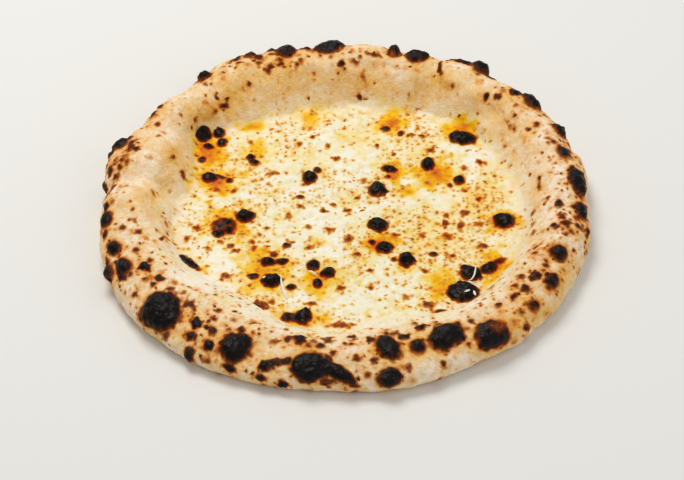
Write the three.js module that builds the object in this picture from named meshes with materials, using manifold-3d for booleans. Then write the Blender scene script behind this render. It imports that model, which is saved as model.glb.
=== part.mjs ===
// Four cheese pizza: a disc of baked dough with a high puffed rim, and melted cheese lying in its well.
// Millimetres, +Z up. The origin is the middle of the underside and -Y is the side nearest the viewer.
// Turns are degrees round the middle, counted from +X towards +Y.
import * as THREE from 'three';
import { mergeVertices } from 'three/addons/utils/BufferGeometryUtils.js';
import Module from 'manifold-3d';

const wasm = await Module();
wasm.setup();

// Driving dimensions
const pizzaDiameter = 312;
const wellDiameter = 208;
const wellShift = [5, 1.5];
const baseThickness = 4;
const rimHeight = 26.5;
const backRise = 3.5;
const cheeseThickness = 3.2;
const filmThickness = 0.6;
const gap = 0.3;

// The dough rises as a soft wall, rolls over a crest and comes round a belly to the rest edge.
const wallPower = 1.4;
const crestShare = 0.575;
const crestLean = 0.06;
const bellyShare = 0.38;
const restInset = 9;

// Each puff swells the rim outward, upward and inward by so many mm: turn, half width, out, up, in.
// A negative value draws it back, as where the cheese has run a little way up the rim.
const puffs = [
  [28, 13, 6, 0, 0],
  [50, 8, 0, 0, -5],
  [57, 6, 6, 2, 0],
  [85, 14, -1, 3, 3],
  [117, 10, 6, 2, 0],
  [141, 7.5, -1.5, 0.5, -16],
  [163, 9, 4.5, 2.5, 4],
  [184, 7, 0, 2.5, 0],
  [187, 8, 0, 0, -5],
  [204, 9, 3.5, 0, -4],
  [218, 9, 2.5, 0, 0],
  [232, 12, 2.5, 0, 10.5],
  [258, 34, 0, -4, 0],
  [262, 24, 3, 0, 0],
  [265, 12, -3, 0, 0],
  [288, 9, 0, 0, 14],
  [302, 7, -2, 0, 0],
  [345, 12, 1.5, 0, 0],
];

// Creases between puffs: turn, half width, depth.
const creases = [
  [47.5, 2.5, 1.5],
  [64.5, 2.2, 4],
  [104, 4, 1.5],
  [132, 4, 1.5],
  [151, 3, 2.5],
  [173, 3, 6.5],
];
const creaseOutside = 0.45;
const creaseInside = 0.5;

// Burnt blisters on the rim: turn, place across the rim, length, width, height, and how far the length tilts
// from along the rim to across it, in degrees. The place is 0 at the foot of the wall, 1 on the crest,
// 2 on the belly and 3 at the rest edge.
const rimBlisters = [
  [6, 1.44, 24, 14, 4, 0],
  [16, 1.28, 12, 10, 2.5, 0],
  [25, 1.46, 12, 12, 3, 0],
  [37, 1.46, 18, 12, 4.5, 0],
  [54, 1.38, 14, 13, 5.5, 0],
  [70.5, 1.21, 14, 15, 4.5, 0],
  [76.5, 1.18, 9.5, 10, 5.5, 0],
  [94, 1.27, 22, 17, 4.5, 0],
  [105.5, 1.25, 14, 14, 4, 0],
  [115, 1.29, 9, 9, 3, 0],
  [128.5, 1.38, 10, 10, 4.5, 0],
  [160, 1.62, 12, 13, 4, 0],
  [187, 1.61, 14, 10, 3, 0],
  [197, 1.5, 12, 9, 3, 0],
  [202, 1.85, 12, 10, 3, 0],
  [204, 1.45, 14, 9.5, 3, 0],
  [221.5, 1.46, 28, 24, 5, 0],
  [243, 1.39, 19, 20, 4, 0],
  [261.5, 1.46, 23, 20, 4, 0],
  [268, 1.52, 30, 8.5, 2.5, 33],
  [280, 1.72, 16.5, 11, 3, 0],
  [281, 1.19, 13, 21, 3.5, 0],
  [288.5, 1.29, 9, 11, 2.5, 0],
  [296.5, 1.26, 24, 18, 4, -10],
  [307, 1.53, 23, 18, 4, 0],
  [321, 1.53, 8.5, 7.5, 2, 0],
  [330, 1.45, 12, 10, 3, 0],
  [339, 1.24, 13, 11, 3, 0],
  [356, 1.51, 17, 9.5, 3, 0],
];

// Burnt blisters on the cheese: X and Y of the middle, size along X, size along Y, height.
const cheeseBlisters = [
  [-94, 78, 12.5, 12, 3.5],
  [-83, 81, 7, 9, 2.5],
  [-61, 55, 8, 7, 2.5],
  [-87, 37, 12, 10, 3],
  [-23, 37, 10, 12, 3.5],
  [29, 46, 9, 7, 2.5],
  [54, 50, 9.5, 14, 3.5],
  [74, 35, 7.5, 8, 2.5],
  [21, 25, 11.5, 15, 4.5],
  [78, 76, 18, 13, 4],
  [-64, 0, 12, 11, 4],
  [-77, -10, 16, 15, 3],
  [21, -9, 12, 14, 4],
  [25, -30, 11.5, 10.5, 3],
  [39, -42, 10.5, 13, 4],
  [102, -5, 15, 14.5, 4],
  [-49, -43, 8.5, 7.5, 2.5],
  [-46, -61, 14, 12.5, 3.5],
  [-20, -46, 8, 9, 3],
  [-11, -54, 9, 11, 3],
  [79, -54, 13, 14.5, 4],
  [91, -49, 9, 14, 3],
  [74, -72, 20, 19, 4.5],
  [-30, -95, 16, 11, 3],
];

// Shreds of cheese that stayed whole and pale: X and Y of each end.
const shreds = [
  [-40.5, -58, -36, -78],
  [-23.5, -53, -17.5, -56],
];
const shredWidth = 1.6;
const shredHeight = 1.6;

// How finely the round surfaces are divided
const turnSteps = 88;
const wallPlaces = [0, 0.1, 0.2, 0.35, 0.5, 0.65, 0.82, 1];
const crownSteps = 6;
const bellySteps = 4;
const cheeseRings = 5;
const cheeseWallSteps = 3;
const domeSteps = 3;
const domeSides = 10;

// The cheese ends a little way up the wall.
const cheeseEdge = wallPlaces[cheeseWallSteps];

// A smooth swelling of height 1 round one turn
function swell(turn, middle, halfWidth) {
  const away = ((turn - middle + 540) % 360) - 180;
  return Math.exp(-0.5 * (away / halfWidth) ** 2);
}

// Radii and heights of the rim's cross-section at one turn
function rimAt(turn) {
  const angle = THREE.MathUtils.degToRad(turn);
  const [shiftX, shiftY] = wellShift;
  const along = shiftX * Math.cos(angle) + shiftY * Math.sin(angle);
  const aside = shiftX * Math.sin(angle) - shiftY * Math.cos(angle);
  let foot = along + Math.sqrt((wellDiameter / 2) ** 2 - aside ** 2);
  let outer = pizzaDiameter / 2;
  let height = rimHeight + backRise * Math.sin(angle);
  for (const [middle, halfWidth, out, up, inward] of puffs) {
    const share = swell(turn, middle, halfWidth);
    outer += out * share;
    height += up * share;
    foot -= inward * share;
  }
  for (const [middle, halfWidth, depth] of creases) {
    const cut = depth * swell(turn, middle, halfWidth);
    outer -= creaseOutside * cut;
    height -= cut;
    foot += creaseInside * cut;
  }
  const crest = foot + (outer - foot) * (crestShare + crestLean * Math.sin(angle));
  return { foot, crest, outer, height, belly: bellyShare * height, rest: outer - restInset };
}

function polar(turn, radius, z) {
  const angle = THREE.MathUtils.degToRad(turn);
  return new THREE.Vector3(radius * Math.cos(angle), radius * Math.sin(angle), z);
}

// Point of the rim's skin: a wall that rises as a power of a sine, then a quarter ellipse over the crown and
// another under the belly
function rimPoint(turn, across) {
  const { foot, crest, outer, height, belly, rest } = rimAt(turn);
  if (across <= 1) {
    const rise = Math.sin(across * Math.PI / 2) ** wallPower;
    return polar(turn, foot + (crest - foot) * across, baseThickness + (height - baseThickness) * rise);
  }
  if (across <= 2) {
    const swing = (across - 1) * Math.PI / 2;
    return polar(turn, crest + (outer - crest) * Math.sin(swing), belly + (height - belly) * Math.cos(swing));
  }
  const swing = (across - 2) * Math.PI / 2;
  return polar(turn, rest + (outer - rest) * Math.cos(swing), belly * (1 - Math.sin(swing)));
}

// One ring of points round the pizza, from a function of the turn
function ringOf(pointAt) {
  return Array.from({ length: turnSteps }, (_, step) => pointAt(360 * step / turnSteps));
}

// Closed shell from a top pole, rings running outward and round underneath, and a bottom pole. Rings that run
// outward and rings that come back are split along the same diagonals, so that layers lie evenly.
function shell(topPole, rings, bottomPole) {
  const points = [topPole, ...rings.flat(), bottomPole];
  const last = points.length - 1;
  const index = [];
  for (let step = 0; step < turnSteps; step += 1) {
    const next = (step + 1) % turnSteps;
    index.push(0, 1 + step, 1 + next);
    for (let ring = 0; ring + 1 < rings.length; ring += 1) {
      const here = 1 + ring * turnSteps;
      const below = here + turnSteps;
      const [near, far] = [points[here + step], points[below + step]];
      if (Math.hypot(far.x, far.y) > Math.hypot(near.x, near.y)) {
        index.push(here + step, below + step, below + next);
        index.push(here + step, below + next, here + next);
      } else {
        index.push(here + step, below + step, here + next);
        index.push(below + step, below + next, here + next);
      }
    }
    const edge = 1 + (rings.length - 1) * turnSteps;
    index.push(edge + next, edge + step, last);
  }
  const geometry = new THREE.BufferGeometry().setFromPoints(points);
  geometry.setIndex(index);
  return geometry;
}

// Domed blister on a short root: Y is its outward axis, X its length and Z its width
function blister(length, width, height, root) {
  const profile = [new THREE.Vector2(0, -root), new THREE.Vector2(0.5, -root)];
  for (let step = 0; step < domeSteps; step += 1) {
    const swing = (step / domeSteps) * Math.PI / 2;
    profile.push(new THREE.Vector2(0.5 * Math.cos(swing), height * Math.sin(swing)));
  }
  profile.push(new THREE.Vector2(0, height));
  return new THREE.LatheGeometry(profile, domeSides).scale(length, 1, width);
}

// Closed solid from a geometry, with shared corners joined and empty triangles left out
function solidOf(geometry) {
  const bare = new THREE.BufferGeometry();
  bare.setAttribute('position', geometry.getAttribute('position'));
  bare.setIndex(geometry.getIndex());
  const joined = mergeVertices(bare, 1e-4);
  const corners = joined.getIndex().array;
  const kept = [];
  for (let k = 0; k < corners.length; k += 3) {
    const [a, b, c] = [corners[k], corners[k + 1], corners[k + 2]];
    if (a !== b && b !== c && c !== a) {
      kept.push(a, b, c);
    }
  }
  return new wasm.Manifold(new wasm.Mesh({
    numProp: 3,
    vertProperties: new Float32Array(joined.getAttribute('position').array),
    triVerts: new Uint32Array(kept),
  }));
}

function meshOf(name, solid, material) {
  const { vertProperties, triVerts } = solid.getMesh();
  const geometry = new THREE.BufferGeometry();
  geometry.setAttribute('position', new THREE.BufferAttribute(new Float32Array(vertProperties), 3));
  geometry.setIndex(Array.from(triVerts));
  geometry.computeVertexNormals();
  const mesh = new THREE.Mesh(geometry, material);
  mesh.name = name;
  return mesh;
}

// Crust: flat base and puffed rim in one piece, with the largest burnt blisters standing on it
function crustShell() {
  const rings = [
    ringOf((turn) => polar(turn, rimAt(turn).foot / 2, baseThickness)),
  ];
  for (const place of wallPlaces) {
    rings.push(ringOf((turn) => rimPoint(turn, place)));
  }
  for (let step = 1; step <= crownSteps; step += 1) {
    rings.push(ringOf((turn) => rimPoint(turn, 1 + step / crownSteps)));
  }
  for (let step = 1; step <= bellySteps; step += 1) {
    rings.push(ringOf((turn) => rimPoint(turn, 2 + step / bellySteps)));
  }
  return solidOf(shell(new THREE.Vector3(0, 0, baseThickness), rings, new THREE.Vector3(0, 0, 0)));
}

function rimBlister([turn, across, length, width, height, tilt]) {
  const small = 0.02;
  const root = 3;
  const point = rimPoint(turn, across);
  const along = rimPoint(turn + small, across).sub(point).normalize();
  const outward = rimPoint(turn, across + small).sub(point).cross(along).normalize();
  const placed = new THREE.Matrix4().makeBasis(along, outward, along.clone().cross(outward));
  placed.setPosition(point);
  const tilted = blister(length, width, height, root).rotateY(-THREE.MathUtils.degToRad(tilt));
  return solidOf(tilted.applyMatrix4(placed));
}

// Cheese: a level pool that curves up into a thin film on the wall. Where the film would lie less than the
// reach above or below the level, a parabola joins the two without a corner.
function cheeseTop(x, y) {
  const turn = (THREE.MathUtils.radToDeg(Math.atan2(y, x)) + 360) % 360;
  const { foot, crest } = rimAt(turn);
  const place = THREE.MathUtils.clamp((Math.hypot(x, y) - foot) / (crest - foot), 0, cheeseEdge);
  const level = baseThickness + gap + cheeseThickness;
  const reach = cheeseThickness - filmThickness;
  const film = rimPoint(turn, place).z + gap + filmThickness - level;
  const climb = film < reach ? (film + reach) ** 2 / (4 * reach) : film;
  const calm = 1 - place / cheeseEdge;
  const waves = 0.35 * Math.sin(x / 17 + 1) * Math.cos(y / 21) * calm;
  return level + waves + climb;
}

function cheeseShell() {
  const onTop = ({ x, y }) => new THREE.Vector3(x, y, cheeseTop(x, y));
  const rings = [];
  for (let ring = 1; ring <= cheeseRings; ring += 1) {
    rings.push(ringOf((turn) => onTop(rimPoint(turn, 0).multiplyScalar(ring / cheeseRings))));
  }
  for (let step = 1; step <= cheeseWallSteps; step += 1) {
    rings.push(ringOf((turn) => onTop(rimPoint(turn, wallPlaces[step]))));
  }
  for (let step = cheeseWallSteps; step >= 0; step -= 1) {
    rings.push(ringOf((turn) => {
      const point = rimPoint(turn, wallPlaces[step]);
      point.z += gap;
      return point;
    }));
  }
  const topPole = new THREE.Vector3(0, 0, cheeseTop(0, 0));
  return solidOf(shell(topPole, rings, new THREE.Vector3(0, 0, baseThickness + gap)));
}

function cheeseBlister([x, y, sizeX, sizeY, height]) {
  const root = 1.5;
  const upright = new THREE.Matrix4().makeRotationX(Math.PI / 2);
  upright.setPosition(x, y, cheeseTop(x, y));
  return solidOf(blister(sizeX, sizeY, height, root).applyMatrix4(upright));
}

// Shred: a straight strip, half sunk in the cheese
function cheeseShred([fromX, fromY, toX, toY]) {
  const length = Math.hypot(toX - fromX, toY - fromY);
  const middleX = (fromX + toX) / 2;
  const middleY = (fromY + toY) / 2;
  const strip = new THREE.BoxGeometry(length, shredWidth, shredHeight);
  strip.rotateZ(Math.atan2(toY - fromY, toX - fromX));
  return solidOf(strip.translate(middleX, middleY, cheeseTop(middleX, middleY)));
}

const plainCrust = crustShell();
const crust = wasm.Manifold.union([plainCrust, ...rimBlisters.map(rimBlister)]);

// A blister that stands over the wall is trimmed to lie clear of the dough.
const clearOfDough = plainCrust.translate([0, 0, gap + 0.1]);
const cheese = wasm.Manifold.union([
  cheeseShell(),
  ...cheeseBlisters.map((row) => cheeseBlister(row).subtract(clearOfDough)),
  ...shreds.map(cheeseShred),
]);

const bakedDough = new THREE.MeshStandardMaterial({ color: '#d8b98a', roughness: 0.85, metalness: 0 });
const meltedCheese = new THREE.MeshStandardMaterial({ color: '#f0e3b4', roughness: 0.45, metalness: 0 });

const group = new THREE.Group();
group.name = 'four_cheese_pizza';
group.add(meshOf('crust', crust, bakedDough));
group.add(meshOf('cheese', cheese, meltedCheese));

export default group;
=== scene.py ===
# %% [markdown]
# # A four cheese pizza, baked very hot
# This lesson gives a plain model of a pizza its baked looks. The plain model has two parts: the crust, which
# is the base and its puffed rim in one piece of dough, and the cheese that melted into the well. Both are
# made again here on much finer grids, from the same sizes, so that blisters and lumps can stand up as real
# shapes. Lengths of the pizza are worked out in millimetres and become metres only where a mesh is written.
# The camera and the lamps are placed in metres.

import bpy
import numpy as np
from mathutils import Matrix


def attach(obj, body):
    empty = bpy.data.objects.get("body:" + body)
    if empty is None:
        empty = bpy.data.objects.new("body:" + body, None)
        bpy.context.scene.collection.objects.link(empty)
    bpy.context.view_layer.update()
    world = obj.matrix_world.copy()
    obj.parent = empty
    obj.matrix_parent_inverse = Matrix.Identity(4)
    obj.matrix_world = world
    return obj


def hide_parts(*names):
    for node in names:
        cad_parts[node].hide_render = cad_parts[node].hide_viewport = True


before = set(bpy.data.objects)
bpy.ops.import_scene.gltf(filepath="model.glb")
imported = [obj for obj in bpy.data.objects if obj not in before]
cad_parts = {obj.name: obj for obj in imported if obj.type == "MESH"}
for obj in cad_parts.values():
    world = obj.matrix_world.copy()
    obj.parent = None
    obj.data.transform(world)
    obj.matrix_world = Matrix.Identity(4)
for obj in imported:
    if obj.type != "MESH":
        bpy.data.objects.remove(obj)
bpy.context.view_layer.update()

MM = 0.001

# %% [markdown]
# ## Camera
# The picture looks down at a little over forty degrees through a long lens, so the far side of the rim is
# only slightly smaller than the near side. Distance and lens belong together: the lens follows from how much
# of the table the picture takes in, so moving the camera back would keep the same framing with flatter
# perspective.

# %% Camera
VIEW_HEIGHT_ANGLE = np.radians(42.5)
VIEW_DISTANCE = 2.0
VIEW_AIM = np.array([-0.0019, -0.0145, 0.0])
PICTURE_WIDTH = 0.4378
SENSOR_WIDTH = 36.0

view_data = bpy.data.cameras.new("view")
view_data.sensor_width = SENSOR_WIDTH
view_data.lens = SENSOR_WIDTH * VIEW_DISTANCE / PICTURE_WIDTH
view = bpy.data.objects.new("view", view_data)
bpy.context.collection.objects.link(view)
view.location = VIEW_AIM + VIEW_DISTANCE * np.array(
    [0.0, -np.cos(VIEW_HEIGHT_ANGLE), np.sin(VIEW_HEIGHT_ANGLE)]
)
view.rotation_euler = (np.pi / 2 - VIEW_HEIGHT_ANGLE, 0.0, 0.0)
bpy.context.scene.camera = view
print("lens, mm:", round(view_data.lens, 1))

# %% [markdown]
# ## Two helpers
# Colours are picked as screen colours and have to be made linear before a shader adds light to them. Every
# node in the lesson goes in through one small function, which sets its settings and links or fills its
# inputs. The Mix node counts the sockets of all its types: for colours the share is input 0, the two colours
# are inputs 6 and 7, and the result is output 2.

# %% Colour and node helpers
def linear(code, alpha=1.0):
    """Screen colour such as "#f0d8b0" as linear red, green, blue and alpha."""
    screen = np.array([int(code[k:k + 2], 16) for k in (1, 3, 5)]) / 255
    low, high = screen / 12.92, ((screen + 0.055) / 1.055) ** 2.4
    return (*np.where(screen <= 0.04045, low, high), alpha)


def put(tree, kind, inputs=None, out=0, stops=None, **settings):
    """Add one node, with its settings, its inputs by name or number, and the stops of its colour ramp. Gives
    the output with the name or number called out, or the node itself where out is None."""
    made = tree.nodes.new("ShaderNode" + kind)
    for name, value in settings.items():
        setattr(made, name, value)
    for key, value in (inputs or {}).items():
        if isinstance(value, bpy.types.NodeSocket):
            tree.links.new(value, made.inputs[key])
        else:
            made.inputs[key].default_value = value
    if stops:
        elements = made.color_ramp.elements
        while len(elements) < len(stops):
            elements.new(1.0)
        for element, (place, code) in zip(elements, stops):
            element.position = place
            element.color = linear(code)
    return made if out is None else made.outputs[out]


def fresh_material(name):
    """A material without any nodes, and its node tree."""
    material = bpy.data.materials.new(name)
    material.use_nodes = True
    tree = material.node_tree
    tree.nodes.clear()
    return material, tree


# %% [markdown]
# ## Table and light
# A pale matt table and a pale sky give the bright, even look of a studio picture. One wide lamp high up, a
# little behind and to the left, keeps the front of the rim bright and leaves soft shade on the inner wall at
# the back. A weaker one at the front right softens that shade.

# %% Table and light
def pale_table():
    """A wide flat square in the plane the pizza lies on."""
    half = 4.0
    corners = np.array([[-1, -1, 0], [1, -1, 0], [1, 1, 0], [-1, 1, 0]]) * half
    mesh = bpy.data.meshes.new("table")
    mesh.from_pydata(corners.tolist(), [], [(0, 1, 2, 3)])
    table = bpy.data.objects.new("table", mesh)
    bpy.context.collection.objects.link(table)
    material, tree = fresh_material("matt_white_laminate")
    paint = put(tree, "BsdfPrincipled", {
        "Base Color": linear("#e9e8e4"),
        "Roughness": 0.9,
        "Specular IOR Level": 0.2,
    })
    put(tree, "OutputMaterial", {"Surface": paint}, None)
    mesh.materials.append(material)
    return table


def wide_lamp(name, place, size, power, tint):
    """A square area lamp at a place in metres, turned towards the pizza."""
    data = bpy.data.lights.new(name, "AREA")
    data.size = size
    data.energy = power
    data.color = linear(tint)[:3]
    lamp = bpy.data.objects.new(name, data)
    bpy.context.collection.objects.link(lamp)
    lamp.location = place
    away = np.array(place) / np.linalg.norm(place)
    lamp.rotation_euler = (np.arccos(away[2]), 0.0, np.arctan2(away[1], away[0]) + np.pi / 2)
    return lamp


pale_table()
wide_lamp("key", place=(-0.4, 0.62, 1.5), size=0.8, power=15.8, tint="#fffdf9")
wide_lamp("fill", place=(1.1, -0.7, 0.9), size=1.4, power=3.4, tint="#ffffff")

world = bpy.data.worlds.new("studio")
bpy.context.scene.world = world
world.use_nodes = True
world.node_tree.nodes.clear()
sky = put(world.node_tree, "Background", {"Color": linear("#f7f7f7"), "Strength": 0.52})
put(world.node_tree, "OutputWorld", {"Surface": sky}, None)
bpy.context.scene.view_settings.view_transform = "Standard"

# %% [markdown]
# ## The rim's form
# Hand-stretched dough puffs up where the gas was pushed to the edge. Its cross-section rises from the base
# as a soft wall, rolls over a crest and comes round a belly to the edge it rests on. Round the pizza the
# section swells at puffs and pinches in at creases. Each of these is a smooth bell added to the section's
# few sizes.

# %% Sizes of the rim, in millimetres
PIZZA_RADIUS = 156.0
WELL_RADIUS = 104.0
WELL_SHIFT = (5.0, 1.5)
BASE_THICKNESS = 4.0
RIM_HEIGHT = 26.5
BACK_RISE = 3.5
WALL_POWER = 1.4
CREST_SHARE = 0.575
CREST_LEAN = 0.06
BELLY_SHARE = 0.38
REST_INSET = 9.0

# turn in degrees, half width in degrees, then mm swelled outward, upward and inward
PUFFS = [
    (28, 13, 6, 0, 0),
    (50, 8, 0, 0, -5),
    (57, 6, 6, 2, 0),
    (85, 14, -1, 3, 3),
    (117, 10, 6, 2, 0),
    (141, 7.5, -1.5, 0.5, -16),
    (163, 9, 4.5, 2.5, 4),
    (184, 7, 0, 2.5, 0),
    (187, 8, 0, 0, -5),
    (204, 9, 3.5, 0, -4),
    (218, 9, 2.5, 0, 0),
    (232, 12, 2.5, 0, 10.5),
    (258, 34, 0, -4, 0),
    (262, 24, 3, 0, 0),
    (265, 12, -3, 0, 0),
    (288, 9, 0, 0, 14),
    (302, 7, -2, 0, 0),
    (345, 12, 1.5, 0, 0),
]

# turn in degrees, half width in degrees, depth in mm
CREASES = [
    (47.5, 2.5, 1.5),
    (64.5, 2.2, 4),
    (104, 4, 1.5),
    (132, 4, 1.5),
    (151, 3, 2.5),
    (173, 3, 6.5),
]
CREASE_OUTSIDE = 0.45
CREASE_INSIDE = 0.5

# %% The rim's skin
def bell(turn, middle, half_width):
    """Swelling of height 1: exp of minus half the squared distance in half widths, round the circle."""
    away = (turn - middle + 180) % 360 - 180
    return np.exp(-0.5 * (away / half_width) ** 2)


def ramp(value, start, end):
    """0 up to the start, 1 from the end on, and straight between them. The end may be the lower one."""
    return np.clip((value - start) / (end - start), 0, 1)


def rim_section(turn):
    """The section's sizes at each turn: an off-centre circle for the well's foot and a round outside, plus
    the bells of the puffs, less those of the creases."""
    angle = np.radians(turn)
    along = WELL_SHIFT[0] * np.cos(angle) + WELL_SHIFT[1] * np.sin(angle)
    aside = WELL_SHIFT[0] * np.sin(angle) - WELL_SHIFT[1] * np.cos(angle)
    foot = along + np.sqrt(WELL_RADIUS ** 2 - aside ** 2)
    outer = np.full_like(foot, PIZZA_RADIUS)
    height = RIM_HEIGHT + BACK_RISE * np.sin(angle)
    for middle, half_width, out, up, inward in PUFFS:
        share = bell(turn, middle, half_width)
        outer, height, foot = outer + out * share, height + up * share, foot - inward * share
    for middle, half_width, depth in CREASES:
        cut = depth * bell(turn, middle, half_width)
        outer, height, foot = outer - CREASE_OUTSIDE * cut, height - cut, foot + CREASE_INSIDE * cut
    crest = foot + (outer - foot) * (CREST_SHARE + CREST_LEAN * np.sin(angle))
    return foot, crest, outer, height


def around(turn, radius, z):
    """Points in mm from a turn in degrees, a radius and a height."""
    angle = np.radians(turn)
    return np.stack(np.broadcast_arrays(radius * np.cos(angle), radius * np.sin(angle), z), axis=-1)


def rim_point(turn, across):
    """Skin of the rim: for across 0 to 1 a wall that rises as a power of a sine, for 1 to 2 a quarter
    ellipse over the crown and for 2 to 3 a quarter ellipse under the belly."""
    turn, across = np.broadcast_arrays(np.asarray(turn, float), np.asarray(across, float))
    foot, crest, outer, height = rim_section(turn)
    belly, rest = BELLY_SHARE * height, outer - REST_INSET
    wall = np.clip(across, 0, 1)
    crown = np.clip(across - 1, 0, 1) * np.pi / 2
    under = np.clip(across - 2, 0, 1) * np.pi / 2
    radius = np.where(across <= 1, foot + (crest - foot) * wall, crest + (outer - crest) * np.sin(crown))
    radius = np.where(across <= 2, radius, rest + (outer - rest) * np.cos(under))
    rise = np.sin(wall * np.pi / 2) ** WALL_POWER
    z = np.where(across <= 1, BASE_THICKNESS + (height - BASE_THICKNESS) * rise,
                 belly + (height - belly) * np.cos(crown))
    z = np.where(across <= 2, z, belly * (1 - np.sin(under)))
    return around(turn, radius, z)


print("rim height round the pizza, mm:", np.round(rim_section(np.arange(0, 360, 45.0))[3], 1))

# %% [markdown]
# ## Relief and meshes
# Dough and cheese are never quite smooth. A random but repeatable relief is the sum of many cosine waves of
# one size that run in random directions. It costs a few lines, has no seams, and the same seed gives the
# same pizza every time. A closed skin is a stack of rings with a pole at each end.

# %% Relief and mesh helpers
def ripple(points, size, seed, waves=40):
    """Smooth random relief with a spread of 1: the sum of cosine waves of about one size in mm, each with
    its own direction and phase."""
    draw = np.random.default_rng(seed)
    ways = draw.normal(size=(waves, 3))
    ways /= np.linalg.norm(ways, axis=1, keepdims=True)
    ways *= (2 * np.pi / (size * draw.uniform(0.7, 1.5, waves)))[:, None]
    phases = draw.uniform(0, 2 * np.pi, waves)
    total = np.zeros(points.shape[:-1])
    for way, phase in zip(ways, phases):
        total += np.cos(points @ way + phase)
    return total * np.sqrt(2 / waves)


def rough(points, *layers):
    """Ripples laid over each other, each with its height, its size in mm and its seed."""
    return sum(height * ripple(points, size, seed) for height, size, seed in layers)


def skin_normals(rings):
    """Unit normals of a stack of rings: across them crossed with along them, by central differences."""
    along = np.roll(rings, -1, axis=1) - np.roll(rings, 1, axis=1)
    across = np.gradient(rings, axis=0)
    normal = np.cross(across, along)
    return normal / np.maximum(np.linalg.norm(normal, axis=-1, keepdims=True), 1e-9)


def smooth_piece(name, points, faces, fields=None):
    """A smooth-shaded object from points in mm and faces, with one number per point for each field."""
    mesh = bpy.data.meshes.new(name)
    mesh.from_pydata((points * MM).tolist(), [], faces)
    mesh.polygons.foreach_set("use_smooth", np.ones(len(faces), dtype=bool))
    for field, values in (fields or {}).items():
        layer = mesh.attributes.new(field, "FLOAT", "POINT")
        layer.data.foreach_set("value", values.astype(np.float32))
    piece = bpy.data.objects.new(name, mesh)
    bpy.context.collection.objects.link(piece)
    print(name, "triangles:", sum(len(face) - 2 for face in faces))
    return piece


def closed_skin(name, rings, top, bottom, fields):
    """A closed skin: quads between the rings and a fan of triangles at each pole. Rings run from the top
    pole outward and round underneath."""
    count, steps = rings.shape[:2]
    points = np.concatenate([[top], rings.reshape(-1, 3), [bottom]])
    here = 1 + np.arange(steps)
    beyond = 1 + (np.arange(steps) + 1) % steps
    start = steps * np.arange(count - 1)[:, None]
    quads = np.stack([start + here, start + steps + here, start + steps + beyond, start + beyond], axis=-1)
    last = steps * (count - 1)
    fan_top = np.stack([np.zeros_like(here), here, beyond], axis=-1)
    fan_bottom = np.stack([last + beyond, last + here, np.full_like(here, len(points) - 1)], axis=-1)
    faces = fan_top.tolist() + quads.reshape(-1, 4).tolist() + fan_bottom.tolist()
    padded = {field: np.pad(values.ravel(), 1, mode="edge") for field, values in fields.items()}
    return smooth_piece(name, points, faces, padded)


# %% [markdown]
# ## Burning a spot
# In a very hot oven thin bubbles blacken before the rest has browned. Each burnt spot is a dome on the skin
# and two numbers for the material: how burnt the place is, and how much the heat singed it round about. All
# come from one distance, 0 in the middle of the spot and 1 at its edge, made ragged by a ripple.

# %% Burnt spots
EDGE_BURN = 0.35
SINGE_REACH = 5.0
DOME_POWER = 0.6
CHARRED = (0.5, 0.8)


def burn_spot(points, fields, ragged, softness, spot):
    """Raise a dome and burn a spot. Distance is the length of the offset measured in half sizes along three
    axes. The dome is height times (1 - distance squared) to the power DOME_POWER. The burn is the strength
    times a share that is EDGE_BURN at the edge and grows by 1 over the softness in mm. The singe falls off
    outside as a bell."""
    middle, axes, half_sizes, height, strength = spot
    reach = max(half_sizes[:2]) + 2 * SINGE_REACH
    near = np.abs(points - middle).max(axis=-1) < reach
    offset = (points[near] - middle) @ axes.T / half_sizes
    distance = np.linalg.norm(offset, axis=-1) * (1 + ragged[near])
    inside = (1 - distance) * np.sqrt(half_sizes[0] * half_sizes[1])
    dome = height * np.clip(1 - distance ** 2, 0, 1) ** DOME_POWER
    burn = strength * np.clip(EDGE_BURN + inside / softness, 0, 1)
    singe = strength * np.exp(-(np.minimum(inside, 0) / SINGE_REACH) ** 2)
    fields["lift"][near] = np.maximum(fields["lift"][near], dome)
    fields["burn"][near] = np.maximum(fields["burn"][near], burn)
    fields["singe"][near] = np.maximum(fields["singe"][near], singe)


def spare_middle(points, burn, less, spot):
    """Burn the middle of a spot less: the burn is cut by a share that falls off outward as a bell."""
    middle, axes, half_sizes = spot[:3]
    offset = (points - middle) @ axes.T / half_sizes
    burn *= 1 - less * np.exp(-2 * np.sum(offset ** 4, axis=-1))


def tilted(along, over, tilt):
    """Two axes in the skin, turned by the tilt in degrees from the first towards the second."""
    swing = np.radians(tilt)
    return np.cos(swing) * along + np.sin(swing) * over, np.cos(swing) * over - np.sin(swing) * along


def rim_spot(turn, across, length, width, height, tilt=0.0, strength=1.0):
    """A spot on the rim: its axes lie along the rim, across it and out of the skin."""
    small = 0.02
    middle = rim_point(turn, across)
    along = rim_point(turn + small, across) - middle
    along /= np.linalg.norm(along)
    over = rim_point(turn, across + small) - middle
    over /= np.linalg.norm(over)
    outward = np.cross(over, along)
    half_sizes = np.array([length, width, 2 * max(length, width)]) / 2
    return middle, np.stack([*tilted(along, over, tilt), outward]), half_sizes, height, strength


# %% [markdown]
# ## Where the rim burnt
# The largest blisters are also in the plain model, at the same places. Smaller ones and brown marks are
# placed one by one where they show, and stretches that browned most get a scatter of flecks.

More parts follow.
